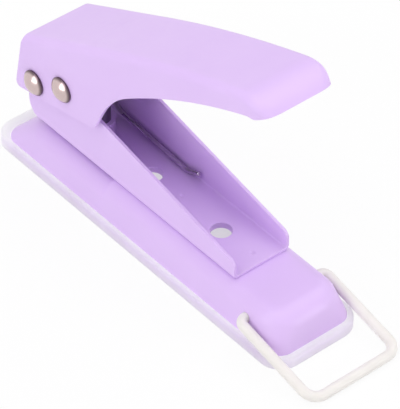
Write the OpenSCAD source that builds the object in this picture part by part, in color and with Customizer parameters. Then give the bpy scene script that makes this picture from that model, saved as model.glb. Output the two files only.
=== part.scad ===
// Desk punch for one round hole, shown with its lever open.
// Sizes are millimetres and angles are degrees. +X runs from the paper mouth to the lever's nose,
// +Z is up, and the origin is the centre of the tray's footprint on the table.

/* [Chip tray] */
// Length of the plastic tray under the base
tray_len = 125; // [115:0.5:140]
// Width of the tray
tray_w = 30.4; // [28:0.1:36]
// Height of the tray's rim above the table
tray_h = 3.7; // [3:0.1:4.2]
// Plan radius of the tray's corners
tray_corner_r = 6.6; // [5.5:0.1:8]
// Thickness of the tray's floor
tray_floor = 1.2; // [0.8:0.1:1.6]
// Rounding of the rim's outer edge
tray_edge_r = 0.8; // [0.4:0.1:1]
// Rim ledge left showing along each side
ledge_side = 1.5; // [1.2:0.1:2]
// Rim ledge left showing at the front
ledge_front = 2; // [1.5:0.1:3]
// Rim ledge left showing at the paper mouth
ledge_rear = 4; // [3:0.1:5]

/* [Base shell] */
// Height of the flat pad above the table
base_h = 14; // [13.4:0.1:16]
// Sheet thickness of the base shell
base_wall = 1; // [0.8:0.1:1.2]
// Plan radius of the shell's corners at its foot
base_corner_r = 5; // [4.6:0.1:6]
// Radius of the shoulder round the pad
shoulder_r = 6; // [5.2:0.1:7]
// Plan radius of the shoulder's outer side round the pad's corners
pad_corner_r = 8.5; // [7.5:0.1:9.5]
// Lean of the side walls
side_lean = 9.5; // [8:0.1:10]
// Lean of the side walls behind the paper stop, where they are drawn in a little more
throat_lean = 10.5; // [10.2:0.1:12]
// Lean of the front wall
front_lean = 11; // [6:0.5:14]
// Lean of the paper ramp at the mouth
ramp_lean = 45; // [40:1:50]
// Height of the paper throat under the frame
throat_gap = 1.5; // [1.2:0.1:2]
// Place of the paper stop, along the body
throat_stop_x = -14; // [-18:0.5:-11]

/* [Channel frame] */
// Outer width of the U-shaped frame
frame_w = 19.4; // [18.8:0.1:20.4]
// Sheet thickness of the frame
frame_t = 1; // [0.8:0.1:1.2]
// Rear edge of the frame, along the body
frame_rear_x = -51; // [-53:0.5:-50]
// Front edge of the frame, along the body
frame_front_x = 38.1; // [34:0.1:44]
// Height of the side walls at the front edge
frame_front_h = 5.9; // [5:0.1:7]
// Slope of the side walls' top edges
frame_slope = 12.2; // [11:0.1:13]
// Rounding of the front top corners
frame_front_r = 2.6; // [1.5:0.1:3.4]
// Rounding of the lower rear corners, which lead the paper in
frame_mouth_r = 6; // [4:0.1:7]
// Rounding of the upper rear corners
frame_ear_r = 5; // [3:0.1:6]
// Outer radius of the bends along the floor
frame_bend_r = 1.6; // [1.5:0.1:2.5]
// Diameter of the two tooling holes in the floor
floor_hole_d = 6.2; // [5:0.1:7]
// Place of the rear tooling hole, along the body
floor_hole_x = -7.9; // [-8.5:0.1:-7]
// Spacing of the tooling holes, and of the two weld dimples
floor_pitch = 29.5; // [28:0.1:31]
// Offset of the tooling holes from the centre line, to the near side
floor_hole_offset = 0.3; // [0:0.1:1]
// Distance from a tooling hole to the weld dimple in front of it
dimple_step = 12.1; // [10:0.1:13]
// Offset of the weld dimples from the centre line, to the far side
dimple_offset = 0.5; // [0:0.1:1]
// Diameter of a weld dimple
dimple_d = 2; // [1.6:0.1:2.6]
// Depth of a weld dimple
dimple_depth = 0.5; // [0.3:0.05:0.6]

/* [Lever] */
// Sheet thickness of the lever
lever_t = 1.1; // [0.9:0.1:1.3]
// Gap between each lever side and the frame
lever_side_gap = 1.5; // [1.2:0.1:2]
// Height of the lever's top above the fulcrum
lever_top = 14.05; // [13:0.05:15]
// Reach of the nose in front of the fulcrum
lever_reach = 109.1; // [104:0.1:115]
// Straight length of the top in front of the fulcrum
crown_start = 39; // [30:1:46]
// Radius of the top's long crown
crown_r = 450; // [350:10:700]
// Radius of the drawn-down nose
nose_r = 11.6; // [10:0.1:13.5]
// Plan radius of the nose's corners
nose_corner_r = 6.4; // [5:0.1:8]
// Radius of the lever's long top edges
lever_edge_r = 2.5; // [2:0.1:3.5]
// Distance of the top's rear edge in front of the fulcrum
lever_rear_x = 0.8; // [0:0.1:1.5]
// Slant of the open rear end, from the lever's own upright
rear_slant = 36.5; // [30:0.5:40]
// Depth of the skirt's rear corner below the fulcrum
skirt_rear_drop = 2; // [1.5:0.1:4]
// Rounding of the skirt's rear corner
skirt_rear_r = 1.5; // [1:0.1:3]
// Depth of the skirt's lower front corner below the fulcrum
skirt_drop = 11; // [9.5:0.1:12]
// Distance of that corner in front of the fulcrum
skirt_corner_x = 23.8; // [22:0.1:26]
// Rounding of that corner
skirt_corner_r = 3; // [1:0.1:5]
// Slope of the skirt's front edge
skirt_front_slope = 38; // [34:1:42]
// Radius of the finger arch at the root of the slim part
arch_r = 35; // [25:1:45]
// Distance in front of the fulcrum where the arch runs into the belly
arch_end_x = 46; // [43:0.5:50]
// Radius of the slim part's lower edge
belly_r = 230; // [200:5:300]
// Distance of the belly's highest point in front of the fulcrum
belly_x = 84; // [80:0.5:88]
// Height of that point above the fulcrum
belly_h = 4.2; // [3.6:0.1:4.8]
// Height of the nose's lower edge above the fulcrum
nose_edge_h = 2.8; // [2.4:0.1:3.3]
// Length of the nose's lower edge
nose_edge_len = 8.6; // [7:0.1:10]

/* [Punch mechanism] */
// Place of the fulcrum, along the body
fulcrum_x = -44.3; // [-45:0.1:-43.5]
// Height of the fulcrum above the pad
fulcrum_rise = 16.9; // [16.5:0.1:18]
// Distance from the fulcrum to the drive rivet
drive_arm = 13.75; // [13:0.05:14.5]
// Depth of the drive rivet below the fulcrum, on the lever
drive_drop = 0.4; // [0:0.1:1]
// Pitch of the open lever
open_pitch = 25.4; // [24:0.1:27]
// Turn of the lever from open to fully pressed
press_angle = 30; // [26:1:31]
// Shank diameter of both rivets
rivet_d = 4; // [3.6:0.1:4.4]
// Head diameter of both rivets
rivet_head_d = 7.8; // [6.8:0.1:8.6]
// Height of a rivet head
rivet_head_h = 2.4; // [1.6:0.1:2.8]
// Height of the upright rim round a rivet head
rivet_rim_h = 0.6; // [0.3:0.1:0.8]
// Outer diameter of the drive sleeve
drive_sleeve_d = 5; // [4.9:0.1:5.4]
// Outer diameter of the bobbin that carries the spring
bobbin_d = 10; // [8:0.1:10.4]
// Diameter of the punch, and so of the hole it cuts
punch_d = 6; // [5:0.1:6.4]
// Diameter of the punch's head
punch_head_d = 10; // [9.6:0.1:10.4]
// Height of the punch's head
punch_head_h = 8.6; // [8:0.1:10]
// Depth of the hollow across the punch's cutting end
punch_hollow = 0.8; // [0.3:0.1:1.2]
// Rest height of the cutting end above the frame's lower face
punch_retract = 0.9; // [0.5:0.1:1.2]
// Outer diameter of the punch guide
guide_d = 8.6; // [8.2:0.1:9]
// Height of the punch guide above the frame's floor
guide_h = 5; // [3:0.1:6]
// Length of the die plate, along the body
die_len = 16; // [12:0.5:20]
// Width of the die plate
die_w = 9.8; // [9:0.1:11]
// Thickness of the die plate
die_t = 1.5; // [1:0.1:2]
// Plan radius of the die plate's corners
die_corner_r = 2; // [1:0.1:4]

/* [Return spring] */
// Wire diameter of the spring
wire_d = 1.5; // [1:0.05:1.6]
// Mean radius of the coil
coil_r = 6.3; // [6.1:0.1:6.6]
// Whole turns that the coil falls short of
coil_turns = 6; // [4:1:6]
// Fall of the lower leg as it leaves the coil
leg_fall = 23.4; // [22:0.1:25]
// Length of that steeper stretch, along the body
leg_drop_len = 15.8; // [14.5:0.1:16.5]
// Length of the run from there to the floor, along the body
leg_run_len = 28.8; // [26:0.1:30]
// Bend radius of the lower leg
leg_bend_r = 6; // [2:0.1:8]
// Length of the curled-up tip
leg_tip = 5.8; // [4.5:0.1:7]
// Rise of the curled-up tip
leg_tip_rise = 23; // [15:1:30]
// Angle of the upper leg to the lever's top
upper_leg_angle = 14; // [12:0.5:18]
// Length of the upper leg's end, which lies along the lever
upper_leg_end = 3; // [2:0.1:5]

/* [Lock bail] */
// Wire diameter of the bail
bail_d = 3; // [2.6:0.1:3.2]
// Length of an arm, from the pivot to the middle of the bar
bail_reach = 30.5; // [29.6:0.1:32]
// Distance of the bail's pivot behind the base's front foot
bail_setback = 13.9; // [12.5:0.1:15.5]
// Height of the bail's pivot above the table
bail_pivot_z = 8.6; // [8.2:0.1:9.4]
// Inner radius of the bail's corners
bail_bend_r = 2.5; // [2:0.1:4]
// Inner radius of the bends beside the pins
bail_root_r = 0.5; // [0.3:0.1:0.8]
// Length of the bail's pins inside the base
bail_pin_in = 1.2; // [0.8:0.1:2]

/* [Fits] */
// Radial clearance of a turning pin
run_gap = 0.05; // [0.02:0.01:0.1]
// Radial clearance of a riveted or pressed piece
rivet_gap = 0.02; // [0.01:0.01:0.05]
// End clearance of pieces that turn side by side
side_gap = 0.1; // [0.05:0.01:0.2]
// Clearance of the shell in its tray
tray_gap = 0.1; // [0.05:0.01:0.2]
// Clearance of the drive sleeve in the frame's notches
notch_gap = 0.5; // [0.3:0.05:0.8]
// Up and down clearance of the drive sleeve in the punch
drive_gap = 0.15; // [0.1:0.01:0.25]
// Clearance of the bail's bar over the table
bail_table_gap = 0.25; // [0.2:0.01:0.4]
// Clearance of the bail's arms beside the base
bail_side_gap = 0.4; // [0.3:0.01:0.6]
// Clearance of the spring's ends on what they press
spring_gap = 0.1; // [0.05:0.01:0.2]
// Clearance of the spring's legs beside the frame's walls
leg_wall_gap = 0.45; // [0.3:0.05:0.8]

/* [Hidden] */

PAINT = [0.88, 0.78, 0.96];
CLEAR_WHITE = [0.94, 0.92, 0.96];
WARM_WHITE = [0.93, 0.92, 0.90];
STEEL = [0.72, 0.72, 0.74];
NICKEL = [0.86, 0.83, 0.80];
NYLON = [0.90, 0.89, 0.85];

$fn = 48;
HULL_FN = 32;
ARC_STEPS = 8;
CUT = 1;
BIG = 200;

// Base: its foot sits in the tray, and its walls lean in to the shoulder round the pad.
foot_z = tray_floor + tray_gap;
foot_rear = -tray_len / 2 + ledge_rear;
foot_front = tray_len / 2 - ledge_front;
foot_half = tray_w / 2 - ledge_side;
throat_z = base_h - throat_gap;
pad_round = pad_corner_r - shoulder_r;

// Distance of a corner dome from the foot's edge, under a pad at the height top
function dome_inset(top, lean) =
    (top - shoulder_r - tray_h) * tan(lean) + shoulder_r / cos(lean) + pad_round;

// Frame and lever widths
frame_half = frame_w / 2;
frame_inner = frame_half - frame_t;
floor_z = base_h + frame_t;
lever_inner = frame_half + lever_side_gap;
lever_half = lever_inner + lever_t;

// Fulcrum, drive rivet and punch. The drive rivet swings over the top of its arc, so the punch
// stands midway between its least and greatest reach.
fulcrum_z = base_h + fulcrum_rise;
drive_r = norm([drive_arm, drive_drop]);
drive_angle = open_pitch - atan2(drive_drop, drive_arm);
drive_open_x = drive_r * cos(drive_angle);
drive_open_z = drive_r * sin(drive_angle);
punch_x = fulcrum_x + (drive_open_x + drive_r) / 2;
drive_swing = (drive_r - drive_open_x) / 2;
punch_cross_z = fulcrum_z + drive_open_z;
punch_travel = drive_open_z - drive_r * sin(drive_angle - press_angle);
rivet_r = rivet_d / 2;

// Bail: its bar rests just over the table, so the droop of its arms follows.
bail_r = bail_d / 2;
bail_pivot_x = foot_front - bail_setback;
bail_side = foot_half - (bail_pivot_z - bail_r - tray_h) * tan(side_lean);
bail_y = bail_side + bail_side_gap + bail_r;
bail_droop = asin((bail_pivot_z - bail_r - bail_table_gap) / bail_reach);

function unit(v) = v / norm(v);

// Points of a round corner at b, between the sides that run to a and c
function corner(a, b, c, r) =
    let (
        u = unit(a - b),
        v = unit(c - b),
        half = acos(u * v) / 2,
        centre = b + unit(u + v) * r / sin(half),
        from = b + u * r / tan(half) - centre,
        to = b + v * r / tan(half) - centre,
        start = atan2(from.y, from.x),
        turn = atan2(from.x * to.y - from.y * to.x, from * to)
    )
    [for (i = [0 : ARC_STEPS]) let (t = start + turn * i / ARC_STEPS) centre + r * [cos(t), sin(t)]];

// Outline through points [x, y, radius], with each corner rounded by its own radius
function rounded(points) =
    let (n = len(points), flat = [for (p = points) [p.x, p.y]])
    [for (i = [0 : n - 1])
        each points[i].z > 0
            ? corner(flat[(i + n - 1) % n], flat[i], flat[(i + 1) % n], points[i].z)
            : [flat[i]]];

function arc(centre, r, from, to, steps = ARC_STEPS) =
    [for (i = [0 : steps]) let (t = from + (to - from) * i / steps) centre + r * [cos(t), sin(t)]];

// Rectangle between two corners, all of whose corners have radius r
function rounded_box(low, high, r) =
    rounded([[low.x, low.y, r], [high.x, low.y, r], [high.x, high.y, r], [low.x, high.y, r]]);

// Solid through a row of rings with equally many points. Seen from the row's end, each ring runs
// clockwise.
module skin(rings) {
    n = len(rings[0]);
    last = (len(rings) - 1) * n;
    polyhedron(
        points = [for (ring = rings) each ring],
        faces = concat(
            [for (k = [1 : n - 2]) [0, k + 1, k]],
            [for (k = [1 : n - 2]) [last, last + k, last + k + 1]],
            [for (i = [0 : len(rings) - 2], k = [0 : n - 1])
                let (a = i * n + k, b = i * n + (k + 1) % n)
                each [[a, b, b + n], [a, b + n, a + n]]]
        )
    );
}

// Extrudes an outline drawn in X and Z to both sides of the centre plane.
module across(width) {
    rotate([90, 0, 0]) linear_extrude(width, center = true) children();
}

// Places a pin's profile, revolved about Y, at a point of the centre plane.
module pin_at(x, z) {
    translate([x, 0, z]) rotate([-90, 0, 0]) children();
}

// Straight round bar along Y, centred on the centre plane
module cross_bar(r, length) {
    cylinder(r = r, h = length, center = true);
}

// Moves a piece from the lever's own frame, with the fulcrum at its origin, to the open lever.
module on_lever() {
    translate([fulcrum_x, 0, fulcrum_z]) rotate([0, -open_pitch, 0]) children();
}

// Tray: a shallow pan whose rim shows as a ledge all round the base.
module tray_layer(z, inset, thickness) {
    half = [tray_len / 2 - inset, tray_w / 2 - inset];
    translate([0, 0, z]) linear_extrude(thickness)
        polygon(rounded_box(-half, half, tray_corner_r - inset));
}

module tray_rim() {
    film = 0.01;
    rim_z = tray_h - tray_edge_r;
    hull() {
        tray_layer(tray_floor, 0, rim_z - tray_floor);
        for (t = [22.5 : 22.5 : 90])
            tray_layer(rim_z + tray_edge_r * sin(t) - film, tray_edge_r * (1 - cos(t)), film);
    }
}

module chip_tray() {
    color(CLEAR_WHITE) difference() {
        union() {
            tray_layer(0, 0, tray_floor);
            tray_rim();
        }
        translate([0, 0, tray_floor]) linear_extrude(tray_h)
            polygon(rounded_box(
                [foot_rear - tray_gap, -foot_half - tray_gap],
                [foot_front + tray_gap, foot_half + tray_gap],
                base_corner_r + tray_gap));
    }
}

// Base shell: one drawn form and the same form a sheet's thickness smaller inside it.
module dome(r) {
    rotate_extrude($fn = HULL_FN) polygon(concat([[0, 0]], arc([pad_round, 0], r, 0, 90), [[0, r]]));
}

// A foot in the tray, under a pad at the height top with rounded shoulders
module drawn_form(inset, foot, top, lean, foot_end, pad_end) {
    pad_rear = foot_rear + dome_inset(top, ramp_lean);
    pad_half = foot_half - dome_inset(top, lean);
    hull() {
        translate([0, 0, foot]) linear_extrude(tray_h - foot)
            polygon(rounded_box(
                [foot_rear + inset, -foot_half + inset],
                [foot_end - inset, foot_half - inset],
                base_corner_r - inset));
        for (x = [pad_rear, pad_end], y = [-pad_half, pad_half])
            translate([x, y, top - shoulder_r]) dome(shoulder_r - inset);
    }
}

// The low form under the throat runs on into the full form in front of the paper stop.
module base_form(inset, foot) {
    run_on = throat_stop_x + 2 * base_corner_r;
    drawn_form(inset, foot, throat_z, throat_lean, run_on, run_on);
    intersection() {
        drawn_form(inset, foot, base_h, side_lean,
            foot_front, foot_front - dome_inset(base_h, front_lean));
        translate([throat_stop_x + inset, -BIG / 2, -BIG / 2]) cube(BIG);
    }
}

module floor_holes(z, depth) {
    for (i = [0, 1])
        translate([floor_hole_x + i * floor_pitch, -floor_hole_offset, z])
            cylinder(d = floor_hole_d, h = depth);
}

module base_shell() {
    color(PAINT) difference() {
        base_form(0, foot_z);
        base_form(base_wall, foot_z - CUT);
        floor_holes(base_h - base_wall - CUT, base_wall + 2 * CUT);
        translate([punch_x, 0, throat_z - base_wall - CUT])
            cylinder(r = punch_d / 2 + run_gap, h = base_wall + 2 * CUT);
        pin_at(bail_pivot_x, bail_pivot_z) cross_bar(bail_r + run_gap, tray_w + 2 * CUT);
    }
}

// Die plate: the hard cutting edge under the throat's floor
module die_plate() {
    color(STEEL) difference() {
        translate([punch_x, 0, throat_z - base_wall - die_t]) linear_extrude(die_t)
            polygon(rounded_box([-die_len / 2, -die_w / 2], [die_len / 2, die_w / 2], die_corner_r));
        translate([punch_x, 0, throat_z - base_wall - die_t - CUT])
            cylinder(r = punch_d / 2 + run_gap, h = die_t + 2 * CUT);
    }
}

// Frame: a U-section cut to the side walls' outline.
module frame_section() {
    top = 2 * fulcrum_rise;
    polygon(rounded([
        [-frame_half, top, 0], [-frame_half, 0, frame_bend_r],
        [frame_half, 0, frame_bend_r], [frame_half, top, 0],
        [frame_inner, top, 0], [frame_inner, frame_t, frame_bend_r - frame_t],
        [-frame_inner, frame_t, frame_bend_r - frame_t], [-frame_inner, top, 0]
    ]));
}

module frame_outline() {
    length = frame_front_x - frame_rear_x;
    rear_h = frame_front_h + length * tan(frame_slope);
    polygon(rounded([
        [frame_rear_x, base_h, frame_mouth_r],
        [frame_front_x, base_h, 0],
        [frame_front_x, base_h + frame_front_h, frame_front_r],
        [frame_rear_x, base_h + rear_h, frame_ear_r]
    ]));
}

// Open notch along the drive sleeve's swing about the fulcrum
module drive_notch() {
    notch_r = drive_sleeve_d / 2 + notch_gap;
    closed_angle = drive_angle - press_angle;
    translate([fulcrum_x, fulcrum_z]) polygon(concat(
        arc([0, 0], drive_r + notch_r, closed_angle, 90 - CUT),
        arc([0, 0], drive_r - notch_r, 90 - CUT, closed_angle),
        arc(drive_r * [cos(closed_angle), sin(closed_angle)], notch_r,
            closed_angle - 180, closed_angle)
    ));
}

module channel_frame() {
    color(PAINT) difference() {
        intersection() {
            translate([frame_rear_x, 0, base_h]) rotate([90, 0, 90])
                linear_extrude(frame_front_x - frame_rear_x) frame_section();
            across(frame_w + 2 * CUT) frame_outline();
        }
        across(frame_w + 2 * CUT) drive_notch();
        pin_at(fulcrum_x, fulcrum_z) cross_bar(rivet_r + rivet_gap, frame_w + 2 * CUT);
        floor_holes(base_h - CUT, frame_t + 2 * CUT);
        translate([punch_x, 0, base_h - CUT])
            cylinder(r = punch_d / 2 + guide_wall() + rivet_gap, h = frame_t + 2 * CUT);
        for (i = [0, 1])
            translate([floor_hole_x + i * floor_pitch + dimple_step, dimple_offset, floor_z]) weld_dimple();
    }
}

// Shallow ball mark whose rim is dimple_d across
module weld_dimple() {
    ball_r = (dimple_d * dimple_d / 4 + dimple_depth * dimple_depth) / (2 * dimple_depth);
    translate([0, 0, ball_r - dimple_depth]) sphere(ball_r);
}

// Wall of the guide's spigot, which leaves a collar to stand on the floor
function guide_wall() = (guide_d - punch_d) / 4;

module punch_guide() {
    color(PAINT) translate([punch_x, 0, base_h]) difference() {
        union() {
            cylinder(r = punch_d / 2 + guide_wall(), h = frame_t);
            translate([0, 0, frame_t]) cylinder(d = guide_d, h = guide_h);
        }
        translate([0, 0, -CUT])
            cylinder(r = punch_d / 2 + run_gap, h = frame_t + guide_h + 2 * CUT);
    }
}

// Punch: a pin with a hollow cutting end, and a head slotted for the drive sleeve.
module punch_pin() {
    tip_z = base_h + punch_retract;
    head_z = punch_cross_z - punch_head_h / 2;
    slot_r = drive_sleeve_d / 2 + drive_gap;
    hollow_r = (punch_d * punch_d / 4 + punch_hollow * punch_hollow) / (2 * punch_hollow);
    color(STEEL) difference() {
        translate([punch_x, 0, 0]) union() {
            translate([0, 0, tip_z]) cylinder(d = punch_d, h = head_z - tip_z + CUT);
            translate([0, 0, head_z]) cylinder(d = punch_head_d, h = punch_head_h);
        }
        for (side = [-1, 1])
            pin_at(punch_x + side * drive_swing, punch_cross_z)
                cross_bar(slot_r, punch_head_d + 2 * CUT);
        translate([punch_x, 0, punch_cross_z])
            cube([2 * drive_swing, punch_head_d + 2 * CUT, 2 * slot_r], center = true);
        pin_at(punch_x, tip_z + punch_hollow - hollow_r)
            cross_bar(hollow_r, punch_d + 2 * CUT);
    }
}

// Lever: a loft of arched sections, the same loft a sheet's thickness smaller, and the outline of
// the sides. Lengths x run forward from the fulcrum along the lever, heights z from the fulcrum.
CROWN_STEPS = 8;
NOSE_STEPS = 8;

// The crown's arc runs on into the nose's arc without a kink.
nose_turn = asin((lever_reach - nose_r - crown_start) / (crown_r - nose_r));
crown_centre = [crown_start, lever_top - crown_r];
nose_centre = crown_centre + (crown_r - nose_r) * [sin(nose_turn), cos(nose_turn)];

// Half-width at x, drawn in round the nose's corners
function half_width(x, inset) =
    let (r = nose_corner_r - inset, past = max(0, x - (lever_reach - nose_corner_r)))
    lever_half - nose_corner_r + sqrt(max(0, r * r - past * past));

// Upright section at x whose top is at z: points [y, z] from the near foot over to the far foot
function arch(x, z, inset) =
    let (
        half = half_width(x, inset),
        r = lever_edge_r - inset,
        foot = -2 * skirt_drop,
        far = concat(arc([half - r, z - r], r, 90, 0), [[half, foot]])
    )
    concat([for (i = [len(far) - 1 : -1 : 0]) [-far[i].x, far[i].y]], far);

// Stations [x, z] along the top: straight, crowned, then round the nose
function stations(inset) = concat(
    [[-2 * lever_top, lever_top - inset]],
    arc(crown_centre, crown_r - inset, 90, 90 - nose_turn * (1 - 1 / CROWN_STEPS), CROWN_STEPS - 1),
    arc(nose_centre, nose_r - inset, 90 - nose_turn, 0, NOSE_STEPS)
);

module lever_form(inset) {
    skin([for (s = stations(inset)) [for (p = arch(s.x, s.y, inset)) [s.x, p.x, p.y]]]);
}

// Lower edge, from the skirt's front corner up the finger arch and along the belly to the nose
belly_centre = [belly_x, belly_h - belly_r];
belly_from = acos((arch_end_x - belly_x) / belly_r);
arch_centre = belly_centre + (belly_r - arch_r) * [cos(belly_from), sin(belly_from)];
arch_from = 90 + skirt_front_slope;
arch_foot = arch_centre + arch_r * [cos(arch_from), sin(arch_from)];
nose_edge_x = lever_reach - nose_edge_len;

module lever_outline() {
    over = lever_top + CUT;
    rear_x = function (z) lever_rear_x + (z - lever_top) * tan(rear_slant);
    polygon(concat(
        rounded([
            [rear_x(over), over, 0],
            [rear_x(-skirt_rear_drop), -skirt_rear_drop, skirt_rear_r],
            [skirt_corner_x, -skirt_drop, skirt_corner_r],
            [arch_foot.x, arch_foot.y, 0]
        ]),
        arc(arch_centre, arch_r, arch_from, belly_from),
        arc(belly_centre, belly_r, belly_from, acos((nose_edge_x - belly_x) / belly_r)),
        [
            [nose_edge_x + CUT, nose_edge_h],
            [lever_reach + CUT, nose_edge_h],
            [lever_reach + CUT, over]
        ]
    ));
}

module lever() {
    color(PAINT) on_lever() difference() {
        intersection() {
            difference() {
                lever_form(0);
                lever_form(lever_t);
            }
            across(2 * lever_half + 2 * CUT) lever_outline();
        }
        pin_at(0, 0) cross_bar(rivet_r + run_gap, 2 * lever_half + 2 * CUT);
        pin_at(drive_arm, -drive_drop) cross_bar(rivet_r + rivet_gap, 2 * lever_half + 2 * CUT);
    }
}

// Rivets: a round shank between two heads, each domed over an upright rim
module rivet(grip) {
    head_r = rivet_head_d / 2;
    dome_h = rivet_head_h - rivet_rim_h;
    dome_r = (head_r * head_r + dome_h * dome_h) / (2 * dome_h);
    end = concat(
        [[rivet_r, grip / 2], [head_r, grip / 2]],
        arc([0, grip / 2 + rivet_head_h - dome_r], dome_r, acos(head_r / dome_r), 90)
    );
    rotate_extrude() polygon(concat(
        end, [for (i = [len(end) - 1 : -1 : 0]) [end[i].x, -end[i].y]]
    ));
}

module fulcrum_rivet() {
    color(NICKEL) pin_at(fulcrum_x, fulcrum_z) rivet(2 * (lever_half + side_gap));
}

module drive_rivet() {
    color(NICKEL) on_lever() pin_at(drive_arm, -drive_drop) rivet(2 * lever_half);
}

module tube(outer_r, inner_r, length) {
    difference() {
        cross_bar(outer_r, length);
        cross_bar(inner_r, length + 2 * CUT);
    }
}

module fulcrum_washers() {
    thickness = lever_side_gap - side_gap;
    color(NYLON) for (side = [-1, 1])
        translate([0, side * (frame_half + thickness / 2), 0]) pin_at(fulcrum_x, fulcrum_z)
            tube(rivet_head_d / 2, rivet_r + rivet_gap, thickness);
}

module spring_bobbin() {
    color(NYLON) pin_at(fulcrum_x, fulcrum_z)
        tube(bobbin_d / 2, rivet_r + rivet_gap, 2 * frame_inner);
}

module drive_sleeve() {
    color(STEEL) on_lever() pin_at(drive_arm, -drive_drop)
        tube(drive_sleeve_d / 2, rivet_r + rivet_gap, 2 * lever_inner);
}

// Return spring: one wire from the curled tip on the floor, round the bobbin, to the lever's top.
wire_r = wire_d / 2;
leg_y = frame_inner - leg_wall_gap - wire_r;
CURL_RINGS = 8;
WIRE_SIDES = 6;
coil_end = -90 - leg_fall;
coil_start = 90 + open_pitch + upper_leg_angle - 360 * coil_turns;

coil_sweep = coil_end - coil_start;
coil_rings = ceil(coil_sweep * CURL_RINGS / 360);
coil_path = [for (i = [0 : coil_rings])
    let (t = coil_start + coil_sweep * i / coil_rings)
    [fulcrum_x + coil_r * cos(t), -leg_y + 2 * leg_y * i / coil_rings, fulcrum_z + coil_r * sin(t)]
];

// Upper leg in the lever's own frame, from its flat end back to the coil
upper_z = lever_top - lever_t - wire_r - spring_gap;
upper_rise = upper_z - coil_r * cos(upper_leg_angle);
upper_x = -coil_r * sin(upper_leg_angle) + upper_rise / tan(upper_leg_angle);

function from_lever(x, z) = [
    fulcrum_x + x * cos(open_pitch) - z * sin(open_pitch), -leg_y,
    fulcrum_z + x * sin(open_pitch) + z * cos(open_pitch)
];

// Lower leg: a steep stretch, a run down to the floor, and the curled tip
leg_root = [coil_path[coil_rings].x, coil_path[coil_rings].z];
leg_knee = leg_root + leg_drop_len * [1, -tan(leg_fall)];
leg_touch = [leg_knee.x + leg_run_len, floor_z + wire_r + spring_gap];
leg_end = leg_touch + leg_tip * [cos(leg_tip_rise), sin(leg_tip_rise)];
lower_leg = rounded([
    concat(leg_root, 0), concat(leg_knee, leg_bend_r), concat(leg_touch, leg_bend_r), concat(leg_end, 0)
]);

spring_path = concat(
    [from_lever(upper_x + upper_leg_end, upper_z), from_lever(upper_x, upper_z)],
    coil_path,
    [for (i = [1 : len(lower_leg) - 1]) [lower_leg[i].x, leg_y, lower_leg[i].y]]
);

// Least distance between points of the path that are more than half a turn apart, less the wire
far_apart = CURL_RINGS / 2;
spring_self_gap = min([
    for (i = [0 : len(coil_path) - 1], j = [i + far_apart : 1 : len(coil_path) - 1])
        norm(coil_path[i] - coil_path[j])
]) - wire_d;
echo(spring_self_gap = spring_self_gap);

// Tube swept along a path that turns about Y: each ring has one side axis close to Y.
module wire(path, r) {
    n = len(path);
    direction = [for (i = [0 : n - 1]) unit(path[min(i + 1, n - 1)] - path[max(i - 1, 0)])];
    rings = [for (i = [0 : n - 1])
        let (
            out = unit(cross(direction[i], [0, 1, 0])),
            side = cross(out, direction[i])
        )
        [for (k = [0 : WIRE_SIDES - 1])
            let (t = 360 * k / WIRE_SIDES) path[i] + r * (out * cos(t) + side * sin(t))]
    ];
    skin(rings);
}

module return_spring() {
    color(STEEL) wire(spring_path, wire_r);
}

// Bail in its own frame: pivot at the origin, arms along +X. Half of it is drawn and mirrored.
module rod(from, to) {
    way = to - from;
    translate([from.x, from.y, 0]) rotate([0, 90, atan2(way.y, way.x)])
        cylinder(r = bail_r, h = norm(way));
}

// Quarter bend of centre radius r about a point, from the start angle on
module elbow(centre, r, start) {
    translate([centre.x, centre.y, 0]) rotate([0, 0, start]) rotate_extrude(angle = 90)
        translate([r, 0]) circle(bail_r);
}

module half_bail() {
    root = bail_root_r + bail_r;
    bend = bail_bend_r + bail_r;
    rod([0, bail_side - base_wall - bail_pin_in], [0, bail_y - root]);
    elbow([root, bail_y - root], root, 90);
    rod([root, bail_y], [bail_reach - bend, bail_y]);
    elbow([bail_reach - bend, bail_y - bend], bend, 0);
    rod([bail_reach, 0], [bail_reach, bail_y - bend]);
}

module lock_bail() {
    color(WARM_WHITE) translate([bail_pivot_x, 0, bail_pivot_z]) rotate([0, bail_droop, 0]) {
        half_bail();
        mirror([0, 1, 0]) half_bail();
    }
}

chip_tray();
base_shell();
die_plate();
channel_frame();
punch_guide();
punch_pin();
lever();
fulcrum_rivet();
fulcrum_washers();
spring_bobbin();
drive_rivet();
drive_sleeve();
return_spring();
lock_bail();
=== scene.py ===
"""Looks of a one-hole desk punch with its lever open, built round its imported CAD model.

Sizes are millimetres and angles are degrees, in the CAD model's frame: +X runs from the paper mouth
to the lever's nose, +Z is up, and the origin is the centre of the tray's footprint on the table.
"""

import bmesh
import bpy
import numpy as np
from mathutils import Matrix


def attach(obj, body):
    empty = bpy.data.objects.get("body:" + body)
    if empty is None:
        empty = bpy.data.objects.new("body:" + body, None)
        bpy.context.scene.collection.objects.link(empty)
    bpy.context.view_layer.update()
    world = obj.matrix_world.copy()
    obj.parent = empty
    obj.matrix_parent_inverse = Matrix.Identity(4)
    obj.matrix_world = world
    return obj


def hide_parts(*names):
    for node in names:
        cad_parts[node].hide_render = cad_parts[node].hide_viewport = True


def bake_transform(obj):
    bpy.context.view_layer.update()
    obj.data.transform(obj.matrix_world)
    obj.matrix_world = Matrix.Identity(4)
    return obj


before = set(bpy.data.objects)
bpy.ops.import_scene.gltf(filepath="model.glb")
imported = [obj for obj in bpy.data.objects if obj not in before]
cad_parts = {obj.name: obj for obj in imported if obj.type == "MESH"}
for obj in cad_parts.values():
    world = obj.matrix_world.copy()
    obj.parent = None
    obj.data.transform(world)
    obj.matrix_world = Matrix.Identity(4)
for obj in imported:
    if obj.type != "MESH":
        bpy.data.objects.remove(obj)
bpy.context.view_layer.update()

MM = 0.001
UPRIGHT = 90
HALF_TURN = 180
FULL_TURN = 360
# Axes along which holes are seen
ACROSS = 1
UP = 2

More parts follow.
